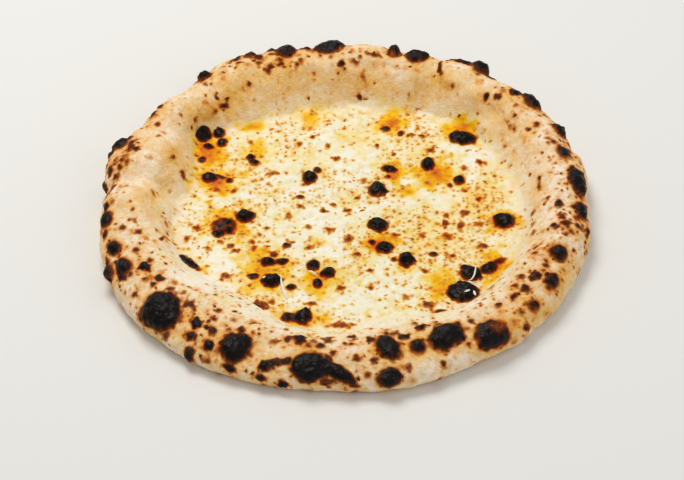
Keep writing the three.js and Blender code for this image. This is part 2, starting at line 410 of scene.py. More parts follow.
# %% Places of the burnt spots on the rim
# turn in degrees, place across the rim, length, width and height in mm, tilt in degrees, and how burnt:
# 1 is black, 0.6 dark brown, 0.4 brown and 0.3 tan
LARGE_RIM_SPOTS = [
    (6, 1.44, 24, 14, 4, 0, 1),
    (16, 1.28, 12, 10, 2.5, 0, 0.75),
    (25, 1.46, 12, 12, 3, 0, 1),
    (37, 1.46, 18, 12, 4.5, 0, 1),
    (54, 1.38, 14, 13, 5.5, 0, 1),
    (70.5, 1.21, 14, 15, 4.5, 0, 1),
    (76.5, 1.18, 9.5, 10, 5.5, 0, 1),
    (94, 1.27, 22, 17, 4.5, 0, 1),
    (105.5, 1.25, 14, 14, 4, 0, 1),
    (115, 1.29, 9, 9, 3, 0, 0.9),
    (128.5, 1.38, 10, 10, 4.5, 0, 1),
    (160, 1.62, 12, 13, 4, 0, 1),
    (187, 1.61, 14, 10, 3, 0, 1),
    (197, 1.5, 12, 9, 3, 0, 1),
    (202, 1.85, 12, 10, 3, 0, 0.9),
    (204, 1.45, 14, 9.5, 3, 0, 1),
    (221.5, 1.46, 28, 24, 5, 0, 1),
    (243, 1.39, 19, 20, 4, 0, 1),
    (261.5, 1.46, 23, 20, 4, 0, 1),
    (268, 1.52, 30, 8.5, 2.5, 33, 1),
    (280, 1.72, 16.5, 11, 3, 0, 1),
    (281, 1.19, 14, 20, 3.5, 0, 1),
    (288.5, 1.29, 9, 11, 2.5, 0, 0.95),
    (296.5, 1.26, 24, 18, 4, -10, 1),
    (307, 1.53, 23, 18, 4, 0, 1),
    (321, 1.53, 8.5, 7.5, 2, 0, 0.75),
    (330, 1.45, 12, 10, 3, 0, 0.8),
    (339, 1.24, 13, 11, 3, 0, 0.85),
    (356, 1.51, 17, 9.5, 3, 0, 0.95),
]
SMALL_RIM_SPOTS = [
    (18, 1.21, 6, 5, 0.8, 0, 0.55),
    (20.8, 1.59, 6, 5, 1, 0, 0.6),
    (27.8, 0.83, 3, 3, 0.5, 0, 0.8),
    (41, 1.24, 8, 8, 2, 0, 0.9),
    (43, 0.89, 5.5, 4.5, 1, 0, 0.65),
    (46, 0.78, 4, 4, 0.6, 0, 0.75),
    (49.5, 1.45, 4, 4, 0.6, 0, 0.7),
    (59, 1.4, 18, 8, 2, 0, 0.75),
    (63, 1, 14, 3, 0.6, 80, 0.6),
    (91, 0.74, 5, 5, 1, 0, 0.7),
    (100, 1.32, 7, 8, 1.5, 0, 0.8),
    (108.5, 1.43, 10, 5, 1.5, 0, 0.8),
    (113.5, 1.12, 6, 5, 1.2, 0, 0.7),
    (114.5, 0.97, 5, 4, 1, 0, 0.6),
    (116.5, 1.5, 8, 4, 1.2, 0, 0.8),
    (119, 1.26, 6, 5, 1.2, 0, 0.7),
    (144, 1.48, 6, 5, 1.2, 0, 0.8),
    (147, 1.46, 7, 3, 1, 0, 0.7),
    (158, 1.46, 6, 4, 1, 0, 0.55),
    (163, 1.75, 6, 7, 1.5, 0, 0.9),
    (171.2, 1.92, 11, 6, 1.5, 0, 0.85),
    (182.5, 1.61, 9, 6, 1.2, 0, 0.85),
    (191, 1.66, 5, 5, 1, 0, 0.7),
    (196.5, 0.56, 6, 2, 0.3, 40, 0.7),
    (199, 1.76, 7, 4, 1, 0, 0.8),
    (206.5, 1.56, 7, 5, 1, 0, 0.85),
    (207, 1.15, 8, 6.5, 1.8, 0, 1),
    (230.5, 1.33, 8, 7, 1.5, 0, 1),
    (231.5, 1.55, 6.5, 5.5, 1.2, 0, 0.85),
    (233.5, 1.84, 8, 8, 1.2, 0, 0.8),
    (235.5, 1.33, 6, 5.5, 1, 0, 0.7),
    (237, 1.56, 7.5, 6.5, 1.4, 0, 0.9),
    (243.5, 1.82, 8, 7, 1.2, 0, 0.7),
    (251, 1.87, 7, 4, 1, 0, 0.75),
    (251.5, 1.57, 9.5, 8, 1.4, 0, 0.8),
    (254, 1.45, 17, 5, 1.2, -15, 0.65),
    (256, 1.98, 8, 5, 1, 0, 0.75),
    (257.7, 0.97, 7.5, 8, 1.4, 0, 0.75),
    (263.5, 1.06, 5, 5, 1, 0, 0.65),
    (265, 1.38, 7, 7, 1.5, 0, 1),
    (281.8, 0.94, 4, 5, 0.6, 0, 0.6),
    (286, 1.09, 7, 5, 1, 20, 0.8),
    (291, 0.83, 4, 4, 0.5, 0, 0.55),
    (291.7, 0.99, 6.5, 6, 1.4, 0, 0.8),
    (313.8, 1.1, 4, 4, 0.8, 0, 0.65),
    (323, 1.19, 6, 6, 1, 0, 0.62),
    (328, 1.14, 8, 7, 1.5, 0, 0.72),
    (349.5, 1.43, 5, 6, 1, 0, 0.55),
    (350.7, 1.74, 8, 5, 1.5, 0, 0.8),
    (356.5, 0.99, 8, 6, 1.2, 0, 0.62),
]

# flat brown marks: turn, place across, length, width, and how burnt
BROWN_MARKS = [
    (0, 0.73, 5, 4, 0.33),
    (6.8, 0.57, 8, 2.5, 0.33),
    (20, 1.13, 4, 4, 0.35),
    (28.5, 1.06, 3, 3, 0.5),
    (33.2, 0.63, 3, 3, 0.35),
    (34.8, 0.65, 3, 3, 0.35),
    (35.5, 1.5, 4, 4, 0.35),
    (37.2, 1.01, 3, 3, 0.4),
    (50.8, 1.33, 6, 6, 0.35),
    (52.5, 1.06, 3, 3, 0.4),
    (56.8, 0.61, 3, 3, 0.4),
    (81.8, 0.96, 7, 4, 0.35),
    (84, 0.54, 3, 3, 0.35),
    (85.2, 0.3, 4, 4, 0.5),
    (85.5, 0.87, 3, 3, 0.4),
    (104, 0.8, 4, 4, 0.45),
    (108.5, 0.86, 4, 4, 0.45),
    (113, 0.76, 4, 4, 0.5),
    (119.5, 1.09, 4, 3, 0.5),
    (130, 0.53, 6, 4, 0.5),
    (133.5, 0.49, 3, 3, 0.35),
    (140.5, 0.49, 3, 3, 0.4),
    (150.8, 1.12, 4, 3, 0.45),
    (155.5, 0.94, 4, 3, 0.3),
    (160, 0.58, 4, 2, 0.5),
    (160.5, 1.33, 6, 5, 0.55),
    (162.5, 1.27, 6, 5, 0.48),
    (163, 1.16, 5, 3, 0.5),
    (163.8, 1.27, 4, 3, 0.42),
    (164.2, 0.33, 4, 3, 0.48),
    (166.8, 1.37, 4, 4, 0.5),
    (168.8, 1.61, 7, 5, 0.5),
    (169, 1.38, 5, 3, 0.5),
    (171, 1.46, 5, 4, 0.36),
    (174, 1.6, 6, 5, 0.38),
    (175.5, 1.24, 5, 4, 0.28),
    (176, 1.85, 8, 5, 0.5),
    (176.8, 0.68, 6, 4, 0.27),
    (187, 0.35, 4, 3, 0.4),
    (187.2, 1.04, 3, 3, 0.4),
    (190.8, 1.02, 5, 3, 0.3),
    (194.8, 1.01, 4, 4, 0.5),
    (200.8, 1.14, 4, 4, 0.5),
    (205.8, 1.03, 5, 4, 0.4),
    (211, 1.29, 4, 4, 0.42),
    (212.5, 1.1, 6, 6, 0.52),
    (212.8, 1.57, 3, 4, 0.5),
    (213.5, 1.23, 4, 4, 0.52),
    (218, 1.11, 7, 5, 0.32),
    (221, 1.04, 3, 3, 0.35),
    (225.2, 1.14, 9, 6, 0.35),
    (226, 1.81, 5, 6, 0.32),
    (233.2, 1.31, 4, 4, 0.45),
    (233.5, 1.16, 6, 4, 0.35),
    (238, 1.03, 3, 3, 0.3),
    (238.2, 1.84, 9, 4, 0.22),
    (241.5, 1.11, 5.5, 5, 0.45),
    (251, 1.1, 6, 4, 0.3),
    (252.5, 0.71, 3, 3, 0.35),
    (254.5, 1.01, 5, 6, 0.45),
    (261.5, 0.97, 4, 3, 0.35),
    (265, 0.84, 8, 6, 0.34),
    (265.5, 1.27, 6, 5, 0.4),
    (266, 1.78, 10, 6, 0.38),
    (267, 1.16, 4, 3, 0.3),
    (270.8, 1.01, 7, 3, 0.27),
    (271.5, 0.75, 4.5, 4, 0.55),
    (273, 1.3, 5, 4, 0.42),
    (275.2, 1.61, 5, 4, 0.32),
    (277, 1.35, 5, 4, 0.42),
    (277.2, 0.97, 6, 6, 0.46),
    (282.5, 0.78, 4, 3, 0.3),
    (283.5, 0.98, 9, 5, 0.3),
    (284.5, 1.59, 5, 4, 0.28),
    (293, 1.72, 4, 6, 0.4),
    (296.2, 1.03, 6, 3, 0.35),
    (304.5, 1.14, 4, 4, 0.38),
    (316, 1.8, 6, 6, 0.45),
    (316.8, 1.47, 5, 5, 0.32),
    (319.5, 1.14, 5, 4, 0.55),
    (322.2, 1.01, 4, 4, 0.42),
    (326.2, 0.91, 6, 5, 0.34),
    (333, 1.17, 4, 4, 0.45),
    (336.2, 0.81, 6, 5, 0.34),
    (346.8, 1.3, 4, 4, 0.4),
    (347.2, 0.99, 4, 4, 0.5),
    (348, 0.47, 4, 4, 0.35),
    (349, 1.18, 7, 6, 0.45),
    (351.2, 1.09, 7, 5, 0.45),
    (357.5, 0.42, 5, 4, 0.34),
]
MARK_HEIGHT = 0.3

# blisters whose thin top only browned: turn, place across, length, width, and how much less burnt.
# The brown top at turn 309 also stands for the lit sheen on that glossy blister: partly a painted highlight.
BROWN_AND_LIT_TOPS = [
    (6.5, 1.54, 8, 5, 0.5),
    (309, 1.46, 15, 12, 0.65),
    (341, 1.25, 6, 6, 0.6),
]

# where flecks gather: turn and its spread in degrees, place across and its spread, how thickly
FLECKED_STRETCHES = [
    (168, 9, 1.5, 0.25, 1.0),
    (182, 9, 1.6, 0.2, 0.8),
    (150, 9, 1.3, 0.25, 0.5),
    (205, 10, 1.35, 0.3, 0.6),
    (235, 14, 1.3, 0.3, 0.65),
    (262, 12, 1.05, 0.2, 0.6),
    (280, 12, 1.1, 0.25, 0.5),
    (325, 14, 1.3, 0.3, 0.5),
    (0, 15, 1.4, 0.3, 0.9),
    (343, 12, 1.35, 0.3, 0.6),
    (350, 22, 1.1, 0.25, 0.5),
    (20, 18, 1.2, 0.25, 0.48),
    (30, 14, 1.4, 0.25, 0.7),
    (62, 8, 1.3, 0.2, 0.6),
    (95, 18, 1.1, 0.2, 0.6),
    (118, 10, 1.15, 0.2, 0.7),
    (135, 10, 1.35, 0.2, 0.5),
    (165, 12, 0.8, 0.3, -0.3),
    (190, 12, 0.8, 0.3, -0.25),
    (225, 22, 0.7, 0.3, 0.35),
    (230, 20, 0.35, 0.2, -0.4),
    (268, 28, 0.5, 0.3, -0.4),
    (92, 40, 1.86, 0.13, 0.6),
]

# %% [markdown]
# ## Where the oil ran
# Fat ran out of the cheese and lies in yellow and orange pools. Some of it crept on to the foot of the rim's
# wall, so the same patches are read by the dough and by the cheese.

# %% Oil
# X and Y in mm, size along X, size along Y, and strength: 0.6 is yellow oil, 1 is deep orange
OIL_PATCHES = [
    (-91, 64, 24, 34, 1.0),
    (-84, 33, 26, 26, 1.0),
    (-58, 63, 19, 30, 0.62),
    (-60, 88, 16, 9, 0.85),
    (-22, 98, 17, 25, 0.62),
    (-75, -5, 32, 28, 0.8),
    (-51, -51, 34, 50, 0.75),
    (-16, -59, 22, 34, 0.8),
    (-29, -95, 36, 24, 0.72),
    (-90, -49, 7, 8, 0.6),
    (-50, -33, 10, 12, 0.75),
    (-18, -25, 9, 10, 0.62),
    (31, 93, 24, 22, 0.9),
    (78, 86, 26, 22, 1.0),
    (31, 42, 17, 20, 0.95),
    (59, 41, 26, 28, 0.95),
    (75, 34, 12, 16, 0.75),
    (41, 24, 17, 14, 0.8),
    (101, -5, 25, 24, 0.8),
    (22, -26, 21, 18, 0.95),
    (39, -44, 18, 20, 0.65),
    (60, -64, 22, 36, 0.72),
    (95, -46, 20, 26, 0.95),
    (85, 15, 60, 70, 0.38),
    (60, -20, 60, 60, 0.38),
    (2, -2, 70, 60, 0.17),
    (50, 60, 60, 50, 0.32),
    (-30, 60, 60, 50, 0.26),
    (10, 75, 60, 40, 0.28),
    (-60, -30, 60, 60, 0.28),
]

# smooth cheese with few browned bubbles, given in the same way
BARE_PATCHES = [
    (12, -76, 60, 42, 0.3),
    (-25, 62, 70, 40, 0.22),
    (5, -12, 24, 30, 0.2),
    (55, 15, 30, 24, 0.2),
]


def patches_at(points, patches):
    """How much of any patch there is at a point: the largest of their strengths, each falling off as a bell
    with a ragged edge."""
    most = np.zeros(points.shape[:-1])
    ragged = 1 + rough(points, (0.18, 12.0, 35), (0.1, 5.0, 36))
    for x, y, size_x, size_y, strength in patches:
        spread = np.hypot((points[..., 0] - x) * 2 / size_x, (points[..., 1] - y) * 2 / size_y)
        most = np.maximum(most, strength * np.exp(-0.9 * (spread * ragged) ** 1.5))
    return most


print("oil patches:", len(OIL_PATCHES))

# %% [markdown]
# ## Crust
# The crust could be a torus pushed about by hand. Worked out as rings round the middle, every blister can be
# placed by its turn and by how far across the rim it sits. Rings lie close together on the rim, where there
# is detail, and far apart on the hidden floor and the flat underside.

# %% Bare rim and its relief
TURN_STEPS = 960
turns = np.arange(TURN_STEPS) * 360 / TURN_STEPS
places = np.concatenate([np.linspace(0, 1, 34), np.linspace(1, 2, 40)[1:], np.linspace(2, 3, 16)[1:]])
bare_rim = rim_point(turns[None, :], places[:, None])
rim_out = skin_normals(bare_rim)

# Relief dies away under the cheese, towards the edge that the pizza rests on, and on the wall at the front.
loose = (ramp(places, 0.33, 0.63) * ramp(places, 2.75, 2.25))[:, None]
front_calm = 1 - 0.8 * bell(turns, 265, 40) * ramp(places, 1.1, 0.7)[:, None]

# Folds on the inner wall are longer upwards, because heights count less in them.
FOLD_SCALES = np.array([1.0, 1.0, 0.3])
folds = bell(places, 0.55, 0.3)[:, None] * rough(bare_rim * FOLD_SCALES, (0.8, 26.0, 24))
dough_waves = rough(bare_rim, (0.6, 34.0, 21), (0.3, 13.0, 22), (0.12, 4.5, 23))
dough_relief = loose * front_calm * (folds + dough_waves)
print("relief of the dough, mm:", np.round([dough_relief.min(), dough_relief.max()], 2))

# %% Burning the rim
BLISTER_SOFTNESS = 4.8
SPOT_SOFTNESS = 2.6
MARK_SOFTNESS = 2.6
MARK_DEPTH = 1.25
rim_fields = {name: np.zeros(bare_rim.shape[:2]) for name in ("lift", "burn", "singe")}
blister_ragged = rough(bare_rim, (0.045, 12.0, 11), (0.035, 5.0, 12))
spot_ragged = rough(bare_rim, (0.1, 6.0, 13), (0.1, 3.5, 16))

for row in LARGE_RIM_SPOTS:
    burn_spot(bare_rim, rim_fields, blister_ragged, BLISTER_SOFTNESS, rim_spot(*row))
for row in SMALL_RIM_SPOTS:
    burn_spot(bare_rim, rim_fields, spot_ragged, SPOT_SOFTNESS, rim_spot(*row))
for turn, across, length, width, strength in BROWN_MARKS:
    mark = rim_spot(turn, across, length, width, MARK_HEIGHT, strength=MARK_DEPTH * strength)
    burn_spot(bare_rim, rim_fields, 1.5 * spot_ragged, MARK_SOFTNESS, mark)
print("share of the rim with any burn, as placed:", round(float((rim_fields["burn"] > 0).mean()), 3))

# %% Burning the far side
# The picture doesn't show the outside at the back, so its spots are drawn by chance. Larger ones burn more.
FAR_SPOTS = 26
FAR_TURNS = (42, 142)
FAR_PLACES = (1.68, 2.25)
FAR_LENGTHS = (3.0, 12.0)
chance = np.random.default_rng(51)
far_lengths = chance.uniform(*FAR_LENGTHS, FAR_SPOTS)
far_rows = np.stack([
    np.linspace(*FAR_TURNS, FAR_SPOTS) + chance.uniform(-2, 2, FAR_SPOTS),
    chance.uniform(*FAR_PLACES, FAR_SPOTS),
    far_lengths,
    far_lengths * chance.uniform(0.7, 1.0, FAR_SPOTS),
    far_lengths * 0.06,
    chance.uniform(-40, 40, FAR_SPOTS),
    np.clip(0.3 + 0.075 * far_lengths, 0, 1),
], axis=1)
for row in far_rows:
    burn_spot(bare_rim, rim_fields, spot_ragged, SPOT_SOFTNESS, rim_spot(*row))
print("spots on the far side:", len(far_rows))

# %% Brown tops, one of them partly a painted highlight, and crags on what is charred
for turn, across, length, width, less in BROWN_AND_LIT_TOPS:
    spare_middle(bare_rim, rim_fields["burn"], less, rim_spot(turn, across, length, width, 0))

char = ramp(rim_fields["burn"], *CHARRED)
crags = char * rough(bare_rim, (0.24, 5.0, 14), (0.12, 2.8, 15))
rim_rings = bare_rim + rim_out * (dough_relief + rim_fields["lift"] + crags)[..., None]
rim_rings[..., 2] = np.maximum(rim_rings[..., 2], 0)
print("share of the rim that is burnt:", round(float((char > 0.5).mean()), 3))

# %% Browning of the rim, with painted shade and painted light
# turn and its spread in degrees, place across and its spread, how much browner.
# The rows at turns 170 and 188 darken the foot of the wall under the left lobes: painted shade.
# The row at turn 100 browns the back wall: partly toast and partly painted shade at its foot.
# The rows at turns 235 and 289 make the wall paler where it lies in shade: painted light.
TOAST_LIGHT_AND_SHADE = [
    (100, 48, 0.3, 0.36, 0.9),
    (170, 22, 0.38, 0.28, 0.45),
    (188, 12, 0.3, 0.25, 0.45),
    (15, 34, 0.42, 0.3, 0.4),
    (235, 40, 0.25, 0.25, -0.35),
    (247, 14, 1.0, 0.2, 0.4),
    (124, 14, 0.7, 0.3, 0.35),
    (12, 20, 1.05, 0.25, -0.3),
    (322, 15, 1.75, 0.3, 0.6),
    (289, 12, 1.8, 0.3, -0.35),
    (230, 14, 0.95, 0.2, -0.25),
]


def stretches(rows, turn, across):
    """A field on the rim: the sum of bells in turn times bells across it, kept between -1 and 1."""
    total = np.zeros(np.broadcast(turn, across).shape)
    for middle, spread, place, place_spread, share in rows:
        total += share * bell(turn, middle, spread) * np.exp(-0.5 * ((across - place) / place_spread) ** 2)
    return np.clip(total, -1, 1)


# toast of the rim, with painted shade where the wall's foot is darker and painted light where it is paler
toast_light_and_shade_field = stretches(TOAST_LIGHT_AND_SHADE, turns[None, :], places[:, None])
fleck_field = stretches(FLECKED_STRETCHES, turns[None, :], places[:, None])
print("toast and flecks at most:", np.round([toast_light_and_shade_field.max(), fleck_field.max()], 2))

# %% Film of cheese and oil on the rim's wall
# The film fades out up the wall, and goes furthest up in two stretches at the front.
# Each is a turn and its spread in degrees.
FRONT_LEFT = (235, 36)
FRONT_RIGHT = (310, 28)


def film_strength(turn):
    """How much cheese there is at its edge: a thin film, thickest where it ran up at the front left."""
    return 0.45 + 0.27 * bell(turn, *FRONT_LEFT) + 0.15 * bell(turn, *FRONT_RIGHT)


film_reach = 0.48 + 0.75 * bell(turns, *FRONT_LEFT) + 0.35 * bell(turns, *FRONT_RIGHT)
film_fade = 0.22 + 0.4 * bell(turns, *FRONT_LEFT)
film_ragged = rough(bare_rim, (0.06, 9.0, 17), (0.04, 4.0, 18))
smear = ramp(places[:, None] - film_ragged, film_reach, film_reach - film_fade)
oil_creep = ramp(places[:, None] - 0.5 * film_ragged, 0.55, 0.2)
print("the film's reach across the rim:", np.round([film_reach.min(), film_reach.max()], 2))

# %% The whole crust
floor_rings = around(turns[None, :], np.array([[0.4], [0.8]]) * rim_section(turns)[0], BASE_THICKNESS)
underside_shares = np.array([[0.97], [0.9], [0.78], [0.6], [0.4], [0.2]])
underside_rings = around(turns[None, :], underside_shares * (rim_section(turns)[2] - REST_INSET), 0.0)
crust_rings = np.concatenate([floor_rings, rim_rings, underside_rings])
above = np.zeros(floor_rings.shape[:2])
below = np.ones(underside_rings.shape[:2])

# each field on the rim, and the one number that it has on the underside
crust_fields = {
    "burn": (rim_fields["burn"], 0),
    "singe": (rim_fields["singe"], 0),
    # toast on the rim, with painted shade at the wall's foot and painted light where the wall lies in shade;
    # plain toast underneath
    "toast_light_and_shade": (toast_light_and_shade_field, 0.5),
    "flecked": (fleck_field, 0),
    "cheesy": (film_strength(turns) * smear, 0),
    "oil": (oil_creep * patches_at(bare_rim, OIL_PATCHES), 0),
    "hearth": (ramp(places, 2.7, 3.0)[:, None] + 0 * turns, 1),
}
crust = closed_skin("baked_crust", crust_rings, (0, 0, BASE_THICKNESS), (0, 0, 0), {
    name: np.concatenate([above, on_rim, under * below]) for name, (on_rim, under) in crust_fields.items()
})

# %% [markdown]
# ## Cheese
# The melted cheese is a shallow pool: nearly level, lumpy where shreds ran together, and climbing a little
# at the wall. Its skin is a grid of rings out to a thin edge on the wall, and it is closed just under the
# dough's skin, so that no gap shows.

# %% Places of the burnt spots on the cheese
# X and Y in mm, size along X, size along Y, height, tilt in degrees, and how burnt
CHEESE_SPOTS = [
    (-94, 78, 12.5, 12, 3.5, 0, 1),
    (-83, 81, 7, 9, 2.5, 0, 1),
    (-81, 72, 6, 8, 2.2, 0, 1),
    (-90, 68, 6, 5.5, 1.8, 0, 0.95),
    (-93.5, 55, 5.5, 5.5, 1.2, 0, 0.9),
    (-62, 57, 5.5, 6, 2, 0, 1),
    (-59, 52, 6, 5.5, 2, 0, 1),
    (-88, 37, 10, 9.5, 3, 0, 1),
    (-81, 38, 9, 4, 1.2, -25, 0.75),
    (-75, 34, 4.5, 5, 1.2, 0, 0.9),
    (-23, 37, 10, 12, 3.5, 0, 1),
    (-18, 44, 5, 5.5, 1.5, 0, 0.85),
    (27, 86, 6, 5, 1.2, 0, 0.8),
    (37, 82, 4, 4, 0.8, 0, 0.75),
    (28, 38, 4, 4, 0.8, 0, 0.75),
    (68, 30, 3.5, 4, 0.6, 0, 0.7),
    (29, 46, 10, 6.5, 2.5, -12, 1),
    (54, 50, 9.5, 14, 3.5, 0, 1),
    (74, 35, 7.5, 8, 2.5, 0, 1),
    (21, 25, 11.5, 15, 4.5, 0, 1),
    (78, 76, 18, 13, 4, -8, 1),
    (-64, 0, 12, 11, 4, 0, 1),
    (-77, -10, 16, 15, 3, 0, 0.5),
    (-75, -8, 7, 7, 1.5, 0, 0.95),
    (-80, -12, 6, 5, 1.5, 0, 0.85),
    (-74, -14, 6, 6, 1.5, 0, 0.9),
    (-81, -17, 8, 6, 1.5, 0, 0.95),
    (21, -9, 13, 13, 4, 35, 1),
    (25, -30, 11.5, 10.5, 3, -20, 1),
    (17, -25, 4.5, 4.5, 1.2, 0, 0.9),
    (39, -42, 10.5, 13, 4, 0, 1),
    (56, -36, 5.5, 4.5, 1.2, -15, 0.9),
    (102, -5, 15, 14.5, 4, 0, 1),
    (-49, -43, 8.5, 7.5, 2.5, 0, 1),
    (-40, -43, 8, 5.5, 2, 0, 1),
    (-58, -57, 7, 6, 1.5, 0, 0.95),
    (-46, -61, 14, 12.5, 3.5, 15, 1),
    (-34, -67, 6.5, 5.5, 1.5, 0, 0.95),
    (-20, -46, 8, 9, 3, 0, 1),
    (-11, -54, 9, 11, 3, 0, 1),
    (-17, -63, 5.5, 8, 2, 0, 1),
    (79, -54, 13.5, 14.5, 4, 25, 1),
    (90.5, -49.5, 13.5, 8, 3, 48, 1),
    (97, -43, 12, 5, 0.5, 40, 0.5),
    (74, -72, 20, 19, 4.5, 20, 1),
    (-34.5, -94, 12, 9, 2, 0, 0.75),
    (-26, -93.5, 11, 13, 4, 0, 1),
    (-37, -28, 5, 5, 1, 0, 0.8),
    (-29, 18, 5, 4, 0.8, 0, 0.75),
    (-98.5, -44.5, 17, 6.5, 2, -44, 1),
    (59, -88, 8, 3, 0.5, 8, 0.7),
]

# flat brown marks: X and Y in mm, size along X, size along Y, and how burnt
CHEESE_MARKS = [
    (-6, 56, 5, 6, 0.45),
    (-14, 5, 4, 6, 0.7),
    (-7, 11, 4, 5, 0.4),
    (1, 5, 6, 5, 0.42),
    (-29, 9, 5, 5, 0.35),
    (-36, 1, 4, 5, 0.38),
    (-10, -13, 4, 5, 0.42),
    (-24, -10, 4, 5, 0.35),
    (2, -22, 5, 7, 0.4),
    (7, -36, 5, 6, 0.38),
    (-23, -30, 5, 4, 0.45),
    (-34, -24, 4, 4, 0.4),
    (-50, -11, 4, 4, 0.4),
    (-59, -24, 4, 5, 0.42),
    (-70, -33, 4, 4, 0.5),
    (-58, -31, 4, 4, 0.42),
    (-72, -28, 5, 5, 0.38),
    (-87, -30, 4, 4, 0.42),
    (-79, -24, 4, 4, 0.42),
    (-101, -22, 4, 4, 0.42),
    (-95, -11, 5, 4, 0.5),
    (-83, 26, 4, 4, 0.45),
    (-72, 24, 4, 4, 0.45),
    (-47, 41, 7, 5, 0.34),
    (-62, 72, 3, 4, 0.45),
    (-30, 71, 3, 4, 0.5),
    (-21, 78, 3, 5, 0.5),
    (-11, 69, 3, 4, 0.45),
    (-75, -56, 7, 6, 0.38),
    (-53, -84, 9, 9, 0.46),
    (-46, -80, 4, 4, 0.45),
    (-21, -82, 6, 4, 0.5),
    (-45, -35, 6, 6, 0.48),
    (-3, -68, 6, 6, 0.34),
    (-3, -101, 14, 6, 0.33),
    (8, 17, 5, 4, 0.5),
    (12, 35, 4, 4, 0.42),
    (21, 69, 3, 4, 0.55),
    (32, 60, 3, 4, 0.5),
    (44, 79, 4, 4, 0.5),
    (51, 78, 4, 4, 0.5),
    (56, 64, 5, 4, 0.45),
    (88, 53, 4, 5, 0.45),
    (78, 46, 4, 5, 0.45),
    (78, 25, 4, 3, 0.55),
    (87, 17, 4, 4, 0.4),
    (77, 4, 7, 6, 0.38),
    (65, 1, 4, 5, 0.45),
    (64, -6, 4, 8, 0.5),
    (74, -9, 5, 8, 0.42),
    (65, -19, 5, 5, 0.45),
    (49, -17, 4, 4, 0.42),
    (33, -18, 6, 4, 0.42),
    (86, -8, 6, 5, 0.45),
    (88, -29, 7, 5, 0.36),
    (50, -52, 3, 4, 0.55),
    (68, -38, 4, 4, 0.5),
    (31, -41, 4, 4, 0.55),
    (16, -51, 4, 4, 0.5),
    (16, -67, 3, 4, 0.55),
    (38, -75, 4, 5, 0.34),
    (51, -83, 9, 5, 0.42),
]

# %% Form of the cheese
CHEESE_THICKNESS = 3.2
GAP = 0.3
FILM_THICKNESS = 0.6
EDGE_PLACE = 0.3
EDGE_SINK = 0.15


def cheese_top(points):
    """Top of the cheese: a level pool with slow waves that curves up into a thin film on the wall. Where the
    film would lie less than the reach above or below the level, a parabola joins the two without a corner.
    The film ends just under the dough's skin, so that no gap shows."""
    turn = np.degrees(np.arctan2(points[..., 1], points[..., 0])) % 360
    foot, crest = rim_section(turn)[:2]
    place = np.clip((np.linalg.norm(points[..., :2], axis=-1) - foot) / (crest - foot), 0, EDGE_PLACE)
    outward = place / EDGE_PLACE
    level = BASE_THICKNESS + GAP + CHEESE_THICKNESS
    reach = CHEESE_THICKNESS - FILM_THICKNESS
    thickness = (GAP + FILM_THICKNESS + EDGE_SINK) * (1 - outward) ** 2 - EDGE_SINK
    film = rim_point(turn, place)[..., 2] + thickness - level
    climb = np.where(film < reach, np.maximum(film + reach, 0) ** 2 / (4 * reach), film)
    waves = 0.35 * np.sin(points[..., 0] / 17 + 1) * np.cos(points[..., 1] / 21) * (1 - outward)
    return level + waves + climb


def cheese_spot(x, y, size_x, size_y, height, tilt=0.0, strength=1.0):
    """A spot on the cheese: its axes are X and Y, turned by the tilt, and up."""
    middle = np.array([x, y, 0.0])
    middle[2] = cheese_top(middle)
    side, ahead, up = np.eye(3)
    half_sizes = np.array([size_x, size_y, 2 * max(size_x, size_y)]) / 2
    return middle, np.stack([*tilted(side, ahead, tilt), up]), half_sizes, height, strength


CHEESE_STEPS = 720
cheese_turns = np.arange(CHEESE_STEPS) * 360 / CHEESE_STEPS
edge_ring = rim_point(cheese_turns, EDGE_PLACE)
shares = np.linspace(0, 1, 131)[1:]
bare_cheese = edge_ring[None] * shares[:, None, None]
bare_cheese[..., 2] = cheese_top(bare_cheese)
calm_edge = ramp(shares, 1.0, 0.94)[:, None]
cheese_relief = calm_edge * rough(bare_cheese, (0.35, 18.0, 32), (0.2, 7.0, 33), (0.08, 2.8, 34))
print("relief of the cheese, mm:", np.round([cheese_relief.min(), cheese_relief.max()], 2))

# %% Burning the cheese
CHEESE_SOFTNESS = 2.6
cheese_fields = {name: np.zeros(bare_cheese.shape[:2]) for name in ("lift", "burn", "singe")}
cheese_ragged = rough(bare_cheese, (0.07, 7.0, 31), (0.03, 4.0, 44))
for row in CHEESE_SPOTS:
    burn_spot(bare_cheese, cheese_fields, cheese_ragged, CHEESE_SOFTNESS, cheese_spot(*row))
mark_ragged = rough(bare_cheese, (0.15, 6.0, 42), (0.15, 3.5, 43))
for x, y, size_x, size_y, strength in CHEESE_MARKS:
    mark = cheese_spot(x, y, size_x, size_y, MARK_HEIGHT, strength=strength)
    burn_spot(bare_cheese, cheese_fields, mark_ragged, MARK_SOFTNESS, mark)

char = ramp(cheese_fields["burn"], *CHARRED)
crags = char * rough(bare_cheese, (0.22, 3.6, 39), (0.1, 2.0, 40))
top_rings = bare_cheese.copy()
top_rings[..., 2] += cheese_relief + cheese_fields["lift"] + calm_edge * crags
print("share of the cheese that is burnt:", round(float((char > 0.5).mean()), 3))

# %% The whole cheese
# Towards its edge the cheese thins out and shows the dough.
thin_ragged = rough(bare_cheese, (0.02, 9.0, 17), (0.015, 4.0, 18))
thin = ramp(shares[:, None] - thin_ragged, 0.9, 0.99)
# The cheese's edge takes the rim's toast there, with its painted shade and painted light.
edge_toast_light_and_shade = stretches(TOAST_LIGHT_AND_SHADE, cheese_turns[None, :], EDGE_PLACE) + 0 * shares[:, None]

